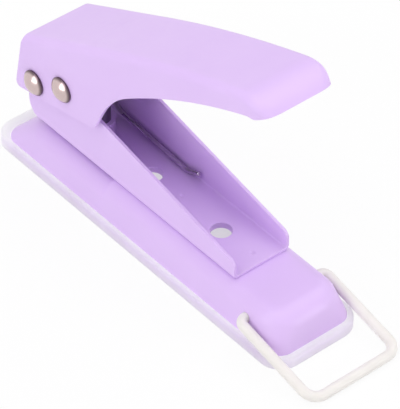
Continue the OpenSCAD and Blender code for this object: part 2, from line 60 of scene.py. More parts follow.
# Chip tray
TRAY_LEN = 125.0
TRAY_W = 30.4
TRAY_H = 3.7
TRAY_CORNER_R = 6.6
TRAY_FLOOR = 1.2
TRAY_EDGE_R = 0.8
TRAY_BREAK = 0.25
TRAY_GAP = 0.1
LEDGE_SIDE = 1.5
LEDGE_FRONT = 2.0
LEDGE_REAR = 4.0

# Base shell
BASE_H = 14.0
BASE_WALL = 1.0
BASE_CORNER_R = 5.0
SHOULDER_R = 6.0
PAD_CORNER_R = 8.5
PAD_ROUND = PAD_CORNER_R - SHOULDER_R
SIDE_LEAN = 9.5
THROAT_LEAN = 10.5
FRONT_LEAN = 11.0
RAMP_LEAN = 45.0
THROAT_Z = BASE_H - 1.5
THROAT_STOP_X = -14.0
FOOT_Z = TRAY_FLOOR + TRAY_GAP
FOOT_REAR = -TRAY_LEN / 2 + LEDGE_REAR
FOOT_FRONT = TRAY_LEN / 2 - LEDGE_FRONT
FOOT_HALF = TRAY_W / 2 - LEDGE_SIDE

# Channel frame
FRAME_HALF = 9.7
FRAME_T = 1.0
FRAME_REAR_X = -51.0
FRAME_FRONT_X = 38.1
FRAME_FRONT_H = 5.9
FRAME_SLOPE = 12.2
FRAME_FRONT_R = 2.6
FRAME_MOUTH_R = 6.0
FRAME_EAR_R = 5.0
FRAME_BEND_R = 1.6
FLOOR_HOLE_R = 3.1
FLOOR_HOLES_X = (-7.9, 21.6)
FLOOR_HOLES_Y = -0.3
DIMPLES_X = (4.2, 33.7)
DIMPLES_Y = 0.5
DIMPLE_R = 1.0
DIMPLE_SLOPE = 31.0

# Lever, measured from the fulcrum along the lever and up from it
FULCRUM = np.array([-44.3, 30.9])
OPEN_PITCH = 25.4
PRESS_ANGLE = 30.0
LEVER_T = 1.1
LEVER_HALF = 12.3
LEVER_TOP = 14.05
LEVER_REACH = 109.1
LEVER_EDGE_R = 2.5
CROWN_START = 39.0
CROWN_R = 450.0
NOSE_R = 11.6
NOSE_CORNER_R = 6.4
LEVER_REAR_X = 0.8
REAR_SLANT = 36.5
SKIRT_REAR_DROP = 2.0
SKIRT_REAR_R = 1.5
SKIRT_CORNER = np.array([23.8, -11.0])
SKIRT_CORNER_R = 3.0
SKIRT_FRONT_SLOPE = 38.0
ARCH_R = 35.0
ARCH_END_X = 46.0
BELLY_R = 230.0
BELLY_TOP = np.array([84.0, 4.2])
NOSE_EDGE_H = 2.8
NOSE_EDGE_LEN = 8.6
NOSE_EDGE_DROP = 3.6

# Punch mechanism
DRIVE_PIN = np.array([13.75, -0.4])
PUNCH_X = -31.13
PUNCH_R = 3.0
GUIDE_SPIGOT_R = 3.67
SLEEVE_R = 2.5
NOTCH_GAP = 0.5
RIVET_R = 2.0
RIVET_HEAD_R = 3.9
RIVET_HEAD_H = 2.4
RIVET_RIM_H = 0.6
RIVET_BREAK = 0.15
PIN_GAP = 0.05
RIVET_GAP = 0.02
SIDE_GAP = 0.1

# Return spring
WIRE_R = 0.75
COIL_R = 6.3
LEG_Y = 7.5
COIL_TURNS = 6
LEG_FALL = 23.4
LEG_DROP_LEN = 15.8
LEG_RUN_LEN = 28.8
LEG_BEND_R = 6.0
LEG_TIP = 5.8
LEG_TIP_RISE = 23.0
UPPER_LEG_ANGLE = 14.0
UPPER_LEG_END = 3.0
SPRING_GAP = 0.1

# Lock bail
BAIL_R = 1.5
BAIL_REACH = 30.5
BAIL_PIVOT = np.array([46.6, 8.6])
BAIL_BEND_R = 4.0
BAIL_ROOT_R = 2.0
BAIL_PIN_IN = 1.2
BAIL_SIDE_GAP = 0.4
BAIL_TABLE_GAP = 0.25

# Broken edges, and the turn from which an edge is broken
SHEET_BREAK = 0.22
CHANNEL_BREAK = 0.42
BREAK_STEPS = 3
EDGE_TURN = 32
# Round at the ends of wire and bail, as a share of their radius
END_ROUND = 0.4

# Meshes: room left round a hole or dent, and distance at which points merge
MARK_MARGIN = 0.35
MERGE = 0.002

# Ends of the stretches of the lever's top over its rear round, skirt, skirt corner and slope
TOP_OVER_REAR_ROUND = LEVER_REAR_X + 1.5
TOP_OVER_SKIRT = 25.5
TOP_OVER_CORNER = 29.5
TOP_OVER_SLOPE = 31.5
# Place along the top by which the slant of the lever's rear has faded out
SLANT_FADE = 34

# Points along the stretches of the lever
REAR_ROUND_POINTS = 6
SKIRT_POINTS = 22
SKIRT_CORNER_POINTS = 8
SLOPE_POINTS = 4
ARCH_POINTS = 14
BELLY_POINTS = 36
NOSE_POINTS = 22
SHOULDER_COLS = 9
SIDE_COLS = 15
TOP_COLS = 9

# Points along the stretches of the base
THROAT_COLS = 24
FRONT_COLS = 50
PAD_COLS = 15
CORNER_COLS = 12
WALL_ROWS = 9
DOME_ROWS = 15

# Points along the stretches of the frame; the dents' inner ring is a share of their radius
MOUTH_END_X = -42.0
MOUTH_ROWS = 5
FLOOR_ROWS = 55
FLOOR_COLS = 19
BEND_COLS = 8
DENT_RINGS = 6
DENT_INNER = 0.2
MOUTH_POINTS = 8
EAR_POINTS = 12
FRONT_POINTS = 10
HOLE_POINTS = 17
NOTCH_POINTS = 10
NOTCH_END_POINTS = 14
NOTCH_FOOT_POINTS = 6

# Points along the stretches of the tray, the spring, the bail and the rivets
TRAY_CORNER_POINTS = 13
TRAY_RIM_POINTS = 8
TRAY_BREAK_POINTS = 5
END_RINGS = 4
WIRE_SIDES = 14
COIL_POINTS = 28
UPPER_END_POINTS = 4
UPPER_BEND_POINTS = 5
LEG_POINTS = 16
KNEE_POINTS = 7
RUN_POINTS = 10
TOUCH_POINTS = 9
TIP_POINTS = 5
BAIL_SIDES = 28
BAIL_PIN_POINTS = 5
BAIL_ROOT_POINTS = 10
BAIL_ARM_POINTS = 14
BAIL_BEND_POINTS = 14
BAIL_BAR_POINTS = 9
TURNED_SIDES = 56
CAP_POINTS = 12
POLE_TURN = 1.5

# Finishes: most of a noise's values lie between its low and high
NOISE_LOW = 0.3
NOISE_HIGH = 0.7
SOFT_DETAIL = 2.0
MARK_DETAIL = 3.0
PAINT_SHEEN = 0.3
POLYETHYLENE_IOR = 1.51
TRAY_MILK = 0.86
SCATTER = 0.6
SCATTER_MM = 2.0
PLASTIC_GLOSS_SPREAD = np.array([-0.04, 0.05])
METAL_GLOSS_SPREAD = np.array([-0.05, 0.07])
METAL_RELIEF = 0.1
METAL_DEPTH_MM = 0.02
# Share of a rivet head's radius at which its painted dark rim, painted reflection and shade, starts
RIM_START = 0.8

# Stage
CAMERA_AZIMUTH = 50.337
CAMERA_ELEVATION = 42.037
CAMERA_DISTANCE = 869.64
CAMERA_AIM = (7.87, 6.77)
CAMERA_LENS = 276.77
SENSOR = 36.0
WORLD_LIGHT = 0.35
FLOOR_GLOW = 0.92
FLOOR_HALF = 3000
FLOOR_GAP = 0.05
# Soft boxes: place, edge length and watts
LAMPS = (
    ("overhead_soft_box", (0, -100, 1400), 1400, 8.8),
    ("near_soft_box", (0, -1300, 450), 900, 5.6),
    ("near_high_soft_box", (0, -1000, 1100), 900, 2.9),
    ("far_soft_box", (0, 900, 1100), 900, 4.9),
    ("low_front_soft_box", (1200, 500, 200), 600, 5.3),
)


# Trigonometry in degrees

def tan(degrees):
    return np.tan(np.radians(degrees))


def cos(degrees):
    return np.cos(np.radians(degrees))


def sin(degrees):
    return np.sin(np.radians(degrees))


def ray(angle):
    """Unit vector at each angle: (cos, sin)."""
    return np.stack([cos(angle), sin(angle)], axis=-1)


def angle_of(way):
    """Angle of a flat vector, from its first axis to its second."""
    return np.degrees(np.arctan2(way[1], way[0]))


def arc(centre, radius, start, end, count):
    """Arc of a circle: centre plus radius times (cos t, sin t), t evenly from start to end."""
    return np.asarray(centre) + radius * ray(np.linspace(start, end, count))


def fillet(before, at, after, radius, count):
    """Arc that rounds a corner: its centre is on the bisector, radius / sin(half angle) away."""
    u = (before - at) / np.linalg.norm(before - at)
    v = (after - at) / np.linalg.norm(after - at)
    half = np.arccos(np.clip(u @ v, -1, 1)) / 2
    centre = at + (u + v) / np.linalg.norm(u + v) * radius / np.sin(half)
    first = at + u * radius / np.tan(half) - centre
    last = at + v * radius / np.tan(half) - centre
    start = angle_of(first)
    turn = angle_of([first @ last, first[0] * last[1] - first[1] * last[0]])
    return arc(centre, radius, start, start + turn, count)


def between(a, b, count):
    """Points evenly along the straight line from a to b."""
    return a + (b - a) * np.linspace(0, 1, count)[:, None]


def side_view(flat, y):
    """Points of a side view, which gives x and z, at their places y across the punch."""
    return np.stack(np.broadcast_arrays(flat[:, 0], y, flat[:, 1]), axis=-1)


def grid_cells(rows, cols, closed=False):
    """Corner numbers of the cells of a grid that is numbered row by row.

    A closed grid joins its last column to its first.
    """
    i, j = np.meshgrid(np.arange(rows - 1), np.arange(cols if closed else cols - 1), indexing="ij")
    k = (j + 1) % cols
    return np.stack([i * cols + j, i * cols + k, (i + 1) * cols + k, (i + 1) * cols + j], axis=-1)


class Skin:
    """A surface put together from grids: its points, and its faces as lists of point numbers."""

    def __init__(self):
        self.points = []
        self.faces = []
        self.count = 0

    def add_points(self, points):
        """Takes in points and gives the number of the first of them."""
        flat = np.reshape(points, (-1, 3))
        first = self.count
        self.points.append(flat)
        self.count += len(flat)
        return first

    def add_face(self, points):
        """One flat face round an outline."""
        first = self.add_points(points)
        self.faces.append(list(range(first, first + len(points))))

    def add_grid(self, grid, closed=False, marks=()):
        """A grid of points as cells.

        Each mark is a round hole or dent in it, as (axis, centre, columns, rings).
        """
        rows, cols = grid.shape[:2]
        first = self.add_points(grid)
        cells = grid_cells(rows, cols, closed)
        kept = np.ones(cells.shape[:2], dtype=bool)
        for mark in marks:
            self.add_mark(grid, kept, *mark)
        self.faces += (first + cells[kept]).tolist()

    def add_mark(self, grid, kept, axis, centre, columns, rings):
        """Works a round hole or dent into a grid, between the columns given.

        Seen along the mark's axis, the smallest block of cells that holds the mark's circle is
        taken out. The block's outline is carried inwards as rings: each of its points goes
        straight towards the centre until it is at the ring's radius, in the plane fitted to the
        outline, and sinks from there by the ring's depth. A dent ends in a flat face.
        """
        plane = [k for k in range(3) if k != axis]
        near = np.linalg.norm(grid[..., plane] - centre, axis=-1) < rings[0][0] + MARK_MARGIN
        near[:, [c for c in range(grid.shape[1]) if c not in columns]] = False
        i, j = np.nonzero(near)
        i0, i1, j0, j1 = i.min() - 1, i.max() + 1, j.min() - 1, j.max() + 1
        kept[i0:i1, j0:j1] = False
        wide, tall = j1 - j0, i1 - i0
        row = np.r_[np.full(wide, i0), np.arange(i0, i1), np.full(wide, i1), np.arange(i1, i0, -1)]
        col = np.r_[np.arange(j0, j1), np.full(tall, j1), np.arange(j1, j0, -1), np.full(tall, j0)]
        edge = grid[row, col]
        way = edge[:, plane] - centre
        way = way / np.linalg.norm(way, axis=1, keepdims=True)
        ones = np.ones(len(edge))
        fit = np.linalg.lstsq(np.c_[edge[:, plane], ones], edge[:, axis], rcond=None)[0]
        loops = [edge]
        for radius, depth in rings:
            loop = np.empty_like(edge)
            loop[:, plane] = centre + radius * way
            loop[:, axis] = np.c_[loop[:, plane], ones] @ fit - depth
            loops.append(loop)
        start = self.add_points(np.stack(loops))
        self.faces += (start + grid_cells(len(loops), len(edge), True).reshape(-1, 4)).tolist()
        if rings[-1][1] > 0:
            self.faces.append(list(range(self.count - len(edge), self.count)))

    def mesh(self, name):
        """A mesh in metres, with points at one place merged and its faces turned outwards."""
        data = bpy.data.meshes.new(name)
        data.from_pydata((np.concatenate(self.points) * MM).tolist(), [], self.faces)
        work = bmesh.new()
        work.from_mesh(data)
        bmesh.ops.remove_doubles(work, verts=work.verts, dist=MERGE * MM)
        bmesh.ops.dissolve_degenerate(work, edges=work.edges, dist=MERGE * MM)
        bmesh.ops.recalc_face_normals(work, faces=work.faces)
        work.to_mesh(data)
        work.free()
        data.shade_smooth()
        return data


def closed_skin(grid):
    """Skin of a grid of closed rows, with a flat face over its first row and one over its last."""
    skin = Skin()
    skin.add_grid(grid, closed=True)
    skin.add_face(grid[0][::-1])
    skin.add_face(grid[-1])
    return skin


def make_piece(name, skin, finish, body, node):
    """An object of a skin with its finish, which rides on a body and stands for a CAD node."""
    piece = bpy.data.objects.new(name, skin.mesh(name))
    bpy.context.scene.collection.objects.link(piece)
    piece.data.materials.append(finish)
    if body:
        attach(piece, body)
    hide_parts(node)
    return piece


def make_sheet_metal(piece, thickness, edge):
    """Gives an outer skin its sheet thickness inwards and breaks its cut edges with a round."""
    wall = piece.modifiers.new("sheet", "SOLIDIFY")
    wall.thickness = thickness * MM
    wall.offset = -1
    wall.use_even_offset = True
    wall.use_quality_normals = True
    soften(piece, edge)


def soften(piece, edge):
    """Rounds edges that turn by more than EDGE_TURN, and lets large faces set the shading."""
    round_off = piece.modifiers.new("edges", "BEVEL")
    round_off.width = edge * MM
    round_off.segments = BREAK_STEPS
    round_off.limit_method = "ANGLE"
    round_off.angle_limit = np.radians(EDGE_TURN)
    round_off.use_clamp_overlap = True
    shading = piece.modifiers.new("shading", "WEIGHTED_NORMAL")
    shading.keep_sharp = True


# Lever

NOSE_X = LEVER_REACH - NOSE_R
NOSE_TURN = np.degrees(np.arcsin((NOSE_X - CROWN_START) / (CROWN_R - NOSE_R)))
NOSE_CENTRE = np.array([NOSE_X, LEVER_TOP - CROWN_R + (CROWN_R - NOSE_R) * cos(NOSE_TURN)])
NOSE_START_X = CROWN_START + CROWN_R * sin(NOSE_TURN)


def lever_top_z(x):
    """Height of the lever's top: level, then the crown's long arc, then the nose's arc."""
    past = np.clip(x - CROWN_START, 0, None)
    crown = LEVER_TOP - CROWN_R + np.sqrt(CROWN_R ** 2 - past ** 2)
    round_nose = np.clip(x - NOSE_CENTRE[0], 0, NOSE_R)
    nose = NOSE_CENTRE[1] + np.sqrt(NOSE_R ** 2 - round_nose ** 2)
    return np.where(x < NOSE_START_X, crown, nose)


def lever_half_width(x):
    """Half-width in plan: full, then drawn in along a quarter circle at the nose's corners."""
    past = np.clip(x - (LEVER_REACH - NOSE_CORNER_R), 0, NOSE_CORNER_R)
    return LEVER_HALF - NOSE_CORNER_R + np.sqrt(NOSE_CORNER_R ** 2 - past ** 2)


def belly_z(x):
    """Height of the slim part's lower edge, which is a long flat arc."""
    return BELLY_TOP[1] - BELLY_R + np.sqrt(BELLY_R ** 2 - (x - BELLY_TOP[0]) ** 2)


def lever_edges():
    """Matching points along the lever's top line and along the lower edge of its sides.

    The lower edge runs round the skirt's rear corner, straight to the skirt's front corner, round
    it, up the slope, through the finger arch and along the belly to the nose, where it drops
    smoothly by d^2 (3 - 2d). Each stretch has its own share of the top.
    """
    rear_top = np.array([LEVER_REAR_X, LEVER_TOP])
    rear_x = LEVER_REAR_X - (SKIRT_REAR_DROP + LEVER_TOP) * tan(REAR_SLANT)
    rear = np.array([rear_x, -SKIRT_REAR_DROP])
    belly_centre = BELLY_TOP - [0, BELLY_R]
    belly_from = np.degrees(np.arccos((ARCH_END_X - BELLY_TOP[0]) / BELLY_R))
    arch_centre = belly_centre + (BELLY_R - ARCH_R) * ray(belly_from)
    arch_from = UPRIGHT + SKIRT_FRONT_SLOPE
    arch_foot = arch_centre + ARCH_R * ray(arch_from)
    rear_round = fillet(rear_top, rear, SKIRT_CORNER, SKIRT_REAR_R, REAR_ROUND_POINTS)
    front_round = fillet(rear, SKIRT_CORNER, arch_foot, SKIRT_CORNER_R, SKIRT_CORNER_POINTS)
    nose_edge_x = LEVER_REACH - NOSE_EDGE_LEN
    belly_x = np.linspace(ARCH_END_X, nose_edge_x, BELLY_POINTS)
    stretches = [
        (rear_round, TOP_OVER_REAR_ROUND),
        (between(rear_round[-1], front_round[0], SKIRT_POINTS), TOP_OVER_SKIRT),
        (front_round, TOP_OVER_CORNER),
        (between(front_round[-1], arch_foot, SLOPE_POINTS), TOP_OVER_SLOPE),
        (arc(arch_centre, ARCH_R, arch_from, belly_from, ARCH_POINTS), ARCH_END_X),
        (np.stack([belly_x, belly_z(belly_x)], axis=-1), nose_edge_x),
    ]
    low, top_x, start = [rear_round[:1]], [np.full(1, LEVER_REAR_X)], LEVER_REAR_X
    for points, end in stretches:
        low.append(points[1:])
        top_x.append(np.linspace(start, end, len(points))[1:])
        start = end
    first = np.degrees(np.arccos((nose_edge_x - NOSE_CENTRE[0]) / NOSE_R))
    last = np.degrees(np.arcsin((NOSE_EDGE_H - NOSE_CENTRE[1]) / NOSE_R))
    nose_x = NOSE_CENTRE[0] + NOSE_R * cos(np.linspace(first, last, NOSE_POINTS))[1:]
    drop = np.clip((nose_x - nose_edge_x) / NOSE_EDGE_DROP, 0, 1)
    drop = drop ** 2 * (3 - 2 * drop)
    nose_low = belly_z(nose_edge_x) + (NOSE_EDGE_H - belly_z(nose_edge_x)) * drop
    top_x = np.concatenate(top_x + [nose_x])
    low = np.concatenate(low + [np.stack([nose_x, nose_low], axis=-1)])
    return top_x, lever_top_z(top_x), low


def lever_skin():
    """Outer skin of the lever: up a side, round a shoulder, over the flat top and down again.

    A shoulder is a quarter circle between the side and the top. Near the rear each section leans
    with the slanted end, and the lean fades out by SLANT_FADE along the top. Round the nose the
    shoulder is cut off where it meets the lower edge.
    """
    top_x, top_z, low = lever_edges()
    half = lever_half_width(top_x)
    lean = tan(REAR_SLANT) * np.clip(1 - top_x / SLANT_FADE, 0, 1)
    centre_z = top_z - LEVER_EDGE_R
    first = np.degrees(np.arcsin(np.clip((low[:, 1] - centre_z) / LEVER_EDGE_R, 0, 1)))
    a = first[:, None] + (UPRIGHT - first)[:, None] * np.linspace(0, 1, SHOULDER_COLS)
    shoulder_y = (half - LEVER_EDGE_R)[:, None] + LEVER_EDGE_R * cos(a)
    shoulder_z = centre_z[:, None] + LEVER_EDGE_R * sin(a)
    shoulder_x = top_x[:, None] + lean[:, None] * (shoulder_z - top_z[:, None])
    shoulder = np.stack([shoulder_x, -shoulder_y, shoulder_z], axis=-1)
    foot = side_view(low, shoulder[:, 0, 1])
    f = np.linspace(0, 1, SIDE_COLS)[:, None]
    side = foot[:, None] + (shoulder[:, :1] - foot[:, None]) * f
    near = np.concatenate([side, shoulder[:, 1:]], axis=1)
    mirror = np.array([1, -1, 1])
    g = np.linspace(0, 1, TOP_COLS)[1:-1, None]
    top = near[:, -1:] + (near[:, -1:] * mirror - near[:, -1:]) * g
    grid = np.concatenate([near, top, near[:, ::-1] * mirror], axis=1)
    cols = grid.shape[1]
    sides = [range(1, SIDE_COLS - 1), range(cols - SIDE_COLS + 1, cols - 1)]
    pins = [(np.zeros(2), RIVET_R + PIN_GAP), (DRIVE_PIN, RIVET_R + RIVET_GAP)]
    skin = Skin()
    skin.add_grid(grid, marks=[(ACROSS, c, s, [(r, 0)]) for s in sides for c, r in pins])
    skin.points = [to_open_lever(p) for p in skin.points]
    return skin


def to_open_lever(points):
    """Turns points from the lever's own frame by the open pitch and moves them to the fulcrum."""
    x, y, z = np.moveaxis(np.asarray(points, float), -1, 0)
    return np.stack([
        FULCRUM[0] + x * cos(OPEN_PITCH) - z * sin(OPEN_PITCH),
        y,
        FULCRUM[1] + x * sin(OPEN_PITCH) + z * cos(OPEN_PITCH),
    ], axis=-1)


# Base shell

def dome_inset(top, lean):
    """Distance of a corner dome's middle inside the foot's edge, for a wall of a given lean."""
    return (top - SHOULDER_R - TRAY_H) * tan(lean) + SHOULDER_R / cos(lean) + PAD_ROUND


def base_skin():
    """Outer skin of the base: walls that lean in from the foot to round shoulders and a flat pad.

    The skin is the common hull of the foot's outline at the tray's rim and of four round corner
    domes under the pad. For a plan direction e a dome is a ball of the shoulder's radius, moved
    out along e by the pad's own corner radius. The skin is a straight line from the foot to the
    ball's point at the elevation t where

    cos t (e . (foot's edge - ball centre)) + sin t (rim height - ball height) = ball radius,

    and from there the ball itself up to its top. Behind the paper stop the domes are lower, for
    the throat.
    """
    side_cols = THROAT_COLS + FRONT_COLS
    behind = np.arange(side_cols) < THROAT_COLS
    foot_y = FOOT_HALF - BASE_CORNER_R
    foot_ends = (FOOT_REAR + BASE_CORNER_R, FOOT_FRONT - BASE_CORNER_R)
    dome_ends = (
        FOOT_REAR + dome_inset(THROAT_Z, RAMP_LEAN),
        FOOT_FRONT - dome_inset(BASE_H, FRONT_LEAN),
    )
    low_y = FOOT_HALF - dome_inset(THROAT_Z, THROAT_LEAN)
    high_y = FOOT_HALF - dome_inset(BASE_H, SIDE_LEAN)
    dome_y = np.where(behind, low_y, high_y)
    foot_x, dome_x = (
        np.concatenate([
            np.linspace(rear, THROAT_STOP_X, THROAT_COLS),
            np.linspace(THROAT_STOP_X, front, FRONT_COLS),
        ]) for rear, front in (foot_ends, dome_ends))
    share = np.linspace(-1, 1, PAD_COLS)
    quarter = np.linspace(0, UPRIGHT, CORNER_COLS)[1:-1]
    side = np.full(side_cols, -UPRIGHT)
    end = np.zeros(PAD_COLS)
    side_top = np.where(behind, THROAT_Z, BASE_H)
    turn, foot_at, dome_at, top = [], [], [], []

    def lay(angle, foot, dome, height):
        """Adds a run of plan directions with its foot points, its dome points and its top."""
        n = len(angle)
        turn.append(angle)
        foot_at.append(np.broadcast_to(np.stack(np.broadcast_arrays(*foot), axis=-1), (n, 2)))
        dome_at.append(np.broadcast_to(np.stack(np.broadcast_arrays(*dome), axis=-1), (n, 2)))
        top.append(np.broadcast_to(height, n))

    lay(side, (foot_x, -foot_y), (dome_x, -dome_y), side_top)
    lay(quarter - UPRIGHT, (foot_ends[1], -foot_y), (dome_ends[1], -high_y), BASE_H)
    lay(end, (foot_ends[1], foot_y * share), (dome_ends[1], high_y * share), BASE_H)
    lay(quarter, (foot_ends[1], foot_y), (dome_ends[1], high_y), BASE_H)
    lay(-side, (foot_x[::-1], foot_y), (dome_x[::-1], dome_y[::-1]), side_top[::-1])
    lay(quarter + UPRIGHT, (foot_ends[0], foot_y), (dome_ends[0], low_y), THROAT_Z)
    lay(end + HALF_TURN, (foot_ends[0], -foot_y * share), (dome_ends[0], -low_y * share), THROAT_Z)
    lay(quarter + HALF_TURN, (foot_ends[0], -foot_y), (dome_ends[0], -low_y), THROAT_Z)
    turn, foot_at, dome_at, top = (np.concatenate(v) for v in (turn, foot_at, dome_at, top))

    e = ray(turn)
    ball_at = dome_at + PAD_ROUND * e
    ball_z = top - SHOULDER_R
    reach = np.sum(e * (foot_at - ball_at), axis=1) + BASE_CORNER_R
    rise = ball_z - TRAY_H
    tangent = np.degrees(np.arctan2(-rise, reach) + np.arccos(SHOULDER_R / np.hypot(reach, rise)))
    rim = np.c_[foot_at + BASE_CORNER_R * e, np.full(len(e), TRAY_H)]
    foot = rim - [0, 0, TRAY_H - FOOT_Z]
    t = tangent + (UPRIGHT - tangent) * np.linspace(0, 1, DOME_ROWS)[:, None]
    ball_plan = ball_at + SHOULDER_R * cos(t)[..., None] * e
    ball = np.concatenate([ball_plan, (ball_z + SHOULDER_R * sin(t))[..., None]], axis=-1)
    wall = rim + (ball[0] - rim) * np.linspace(0, 1, WALL_ROWS)[:, None, None]
    grid = np.concatenate([foot[None], wall, ball[1:]])
    ends = 2 * len(quarter) + PAD_COLS
    near = range(THROAT_COLS, side_cols)
    far = range(side_cols + ends, len(e) - ends - THROAT_COLS)
    pivot_hole = [(BAIL_R + PIN_GAP, 0)]
    skin = Skin()
    pivot_marks = [(ACROSS, BAIL_PIVOT, side, pivot_hole) for side in (near, far)]
    skin.add_grid(grid, closed=True, marks=pivot_marks)

    flat_y = (dome_y + PAD_ROUND)[:, None] * share
    pad = np.stack(np.broadcast_arrays(dome_x[:, None], flat_y, side_top[:, None]), axis=-1)
    inside = range(1, PAD_COLS - 1)
    skin.add_grid(pad, marks=floor_holes(inside, PUNCH_R + PIN_GAP))
    upper = grid[-1]
    front_loop = upper[side_cols - 1:side_cols + ends + 1]
    rear_loop = np.concatenate([upper[-ends - 1:], upper[:1]])
    skin.add_face(np.concatenate([front_loop, pad[-1, -2:0:-1]]))
    skin.add_face(np.concatenate([rear_loop, pad[0, 1:-1]]))
    return skin


def floor_holes(columns, punch_hole_r):
    """Marks of the two tooling holes and of the hole at the punch, in a level grid."""
    ring = [(FLOOR_HOLE_R, 0)]
    holes = [(UP, np.array([x, FLOOR_HOLES_Y]), columns, ring) for x in FLOOR_HOLES_X]
    return holes + [(UP, np.array([PUNCH_X, 0]), columns, [(punch_hole_r, 0)])]


# Channel frame

def frame_top_z(x):
    """Height of the side walls' straight top edge, which falls evenly to the front."""
    return BASE_H + FRAME_FRONT_H + (FRAME_FRONT_X - x) * tan(FRAME_SLOPE)


def mouth_x(z):
    """Rear edge of the frame at a height: upright, with a quarter circle forward at its foot."""
    down = np.clip(BASE_H + FRAME_MOUTH_R - z, 0, FRAME_MOUTH_R)
    return FRAME_REAR_X + FRAME_MOUTH_R - np.sqrt(FRAME_MOUTH_R ** 2 - down ** 2)


def frame_floor():
    """Grid of the frame's floor and its two bends, with the marks of its holes and weld dimples.

    The section is a line between two quarter circles, carried along the frame; at the mouth it
    starts along the walls' curved rear edge. A weld dimple is a round cap, wider here than on the
    sheet's upper face, which lies parallel to it.
    """
    bend_at = np.array([FRAME_BEND_R - FRAME_HALF, BASE_H + FRAME_BEND_R])
    bend = arc(bend_at, FRAME_BEND_R, HALF_TURN, HALF_TURN + UPRIGHT, BEND_COLS)
    line = between(bend[-1], bend[-1] * [-1, 1], FLOOR_COLS)[1:-1]
    section = np.concatenate([bend, line, bend[::-1] * [-1, 1]])
    start = mouth_x(section[:, 1])
    lead_in = np.linspace(0, 1, MOUTH_ROWS)[:-1, None]
    even_x = np.linspace(MOUTH_END_X, FRAME_FRONT_X, FLOOR_ROWS)[:, None] + np.zeros(len(section))
    x = np.concatenate([start + (MOUTH_END_X - start) * lead_in, even_x])
    grid = np.stack(np.broadcast_arrays(x, *section.T), axis=-1)
    inside = range(len(bend), len(section) - len(bend))
    dent_r = (DIMPLE_R + FRAME_T * tan(DIMPLE_SLOPE / 2)) * np.linspace(1, DENT_INNER, DENT_RINGS)
    ball_r = dent_r[0] / sin(DIMPLE_SLOPE)
    dent = list(zip(dent_r, np.sqrt(ball_r ** 2 - dent_r ** 2) - ball_r * cos(DIMPLE_SLOPE)))
    dimples = [(UP, np.array([x, DIMPLES_Y]), inside, dent) for x in DIMPLES_X]
    return grid, floor_holes(inside, GUIDE_SPIGOT_R + RIVET_GAP) + dimples


def frame_walls(foot_x):
    """Outlines of a side wall in side view, above and below a level line through the fulcrum hole.

    The upper ends where the drive notch, part of a ring about the fulcrum, opens it. The lower
    stands on the bend's upper edge, at the places foot_x.
    """
    hole_r = RIVET_R + RIVET_GAP
    pin_r = np.hypot(*DRIVE_PIN)
    closed = OPEN_PITCH + angle_of(DRIVE_PIN) - PRESS_ANGLE
    notch_r = SLEEVE_R + NOTCH_GAP
    edge_gap = (frame_top_z(FULCRUM[0]) - FULCRUM[1]) * cos(FRAME_SLOPE)
    inner_end, outer_end = (
        np.degrees(np.arcsin(edge_gap / (pin_r + s * notch_r))) - FRAME_SLOPE for s in (-1, 1))
    rear_top = np.array([FRAME_REAR_X, frame_top_z(FRAME_REAR_X)])
    front_top = np.array([FRAME_FRONT_X, BASE_H + FRAME_FRONT_H])
    front_foot = front_top - [0, FRAME_FRONT_H]
    rear_level = np.array([[FRAME_REAR_X, FULCRUM[1]]])
    mouth_at = (FRAME_REAR_X + FRAME_MOUTH_R, BASE_H + FRAME_MOUTH_R)
    mouth_turn = np.degrees(np.arcsin(1 - FRAME_BEND_R / FRAME_MOUTH_R))
    notch_at = FULCRUM + pin_r * ray(closed)
    upper = np.concatenate([
        rear_level,
        arc(FULCRUM, hole_r, HALF_TURN, 0, HOLE_POINTS),
        arc(FULCRUM, pin_r - notch_r, 0, inner_end, NOTCH_POINTS),
        fillet(front_top, rear_top, rear_level[0], FRAME_EAR_R, EAR_POINTS),
    ])
    lower = np.concatenate([
        rear_level,
        arc(mouth_at, FRAME_MOUTH_R, HALF_TURN, HALF_TURN + mouth_turn, MOUTH_POINTS)[:-1],
        np.stack([foot_x, np.full(len(foot_x), BASE_H + FRAME_BEND_R)], axis=-1),
        fillet(front_foot, front_top, rear_top, FRAME_FRONT_R, FRONT_POINTS),
        arc(FULCRUM, pin_r + notch_r, outer_end, closed, NOTCH_POINTS),
        arc(notch_at, notch_r, closed, closed - HALF_TURN, NOTCH_END_POINTS)[1:-1],
        arc(FULCRUM, pin_r - notch_r, closed, 0, NOTCH_FOOT_POINTS),
        arc(FULCRUM, hole_r, 0, -HALF_TURN, HOLE_POINTS),
    ])
    return upper, lower


def frame_skin():
    """Outer skin of the frame: a floor with two bends, and side walls of two flat faces each."""
    grid, marks = frame_floor()
    outlines = frame_walls(grid[:, 0, 0])
    skin = Skin()
    skin.add_grid(grid, marks=marks)
    for y in (-FRAME_HALF, FRAME_HALF):
        for outline in outlines:
            skin.add_face(side_view(outline, y))
    return skin


# Chip tray

def tray_loop(low, high, radius, z):
    """Level loop of a rectangle between two corners, whose own corners are quarter circles."""
    corners = [
        (high[0], low[1], -UPRIGHT),
        (high[0], high[1], 0),
        (low[0], high[1], UPRIGHT),
        (low[0], low[1], HALF_TURN),
    ]
    middle = (np.array(low) + high) / 2
    loop = []
    for x, y, start in corners:
        centre = np.array([x, y]) + radius * np.sign(middle - [x, y])
        loop.append(arc(centre, radius, start, start + UPRIGHT, TRAY_CORNER_POINTS))
    flat = np.concatenate(loop)
    return np.c_[flat, np.full(len(flat), z)]


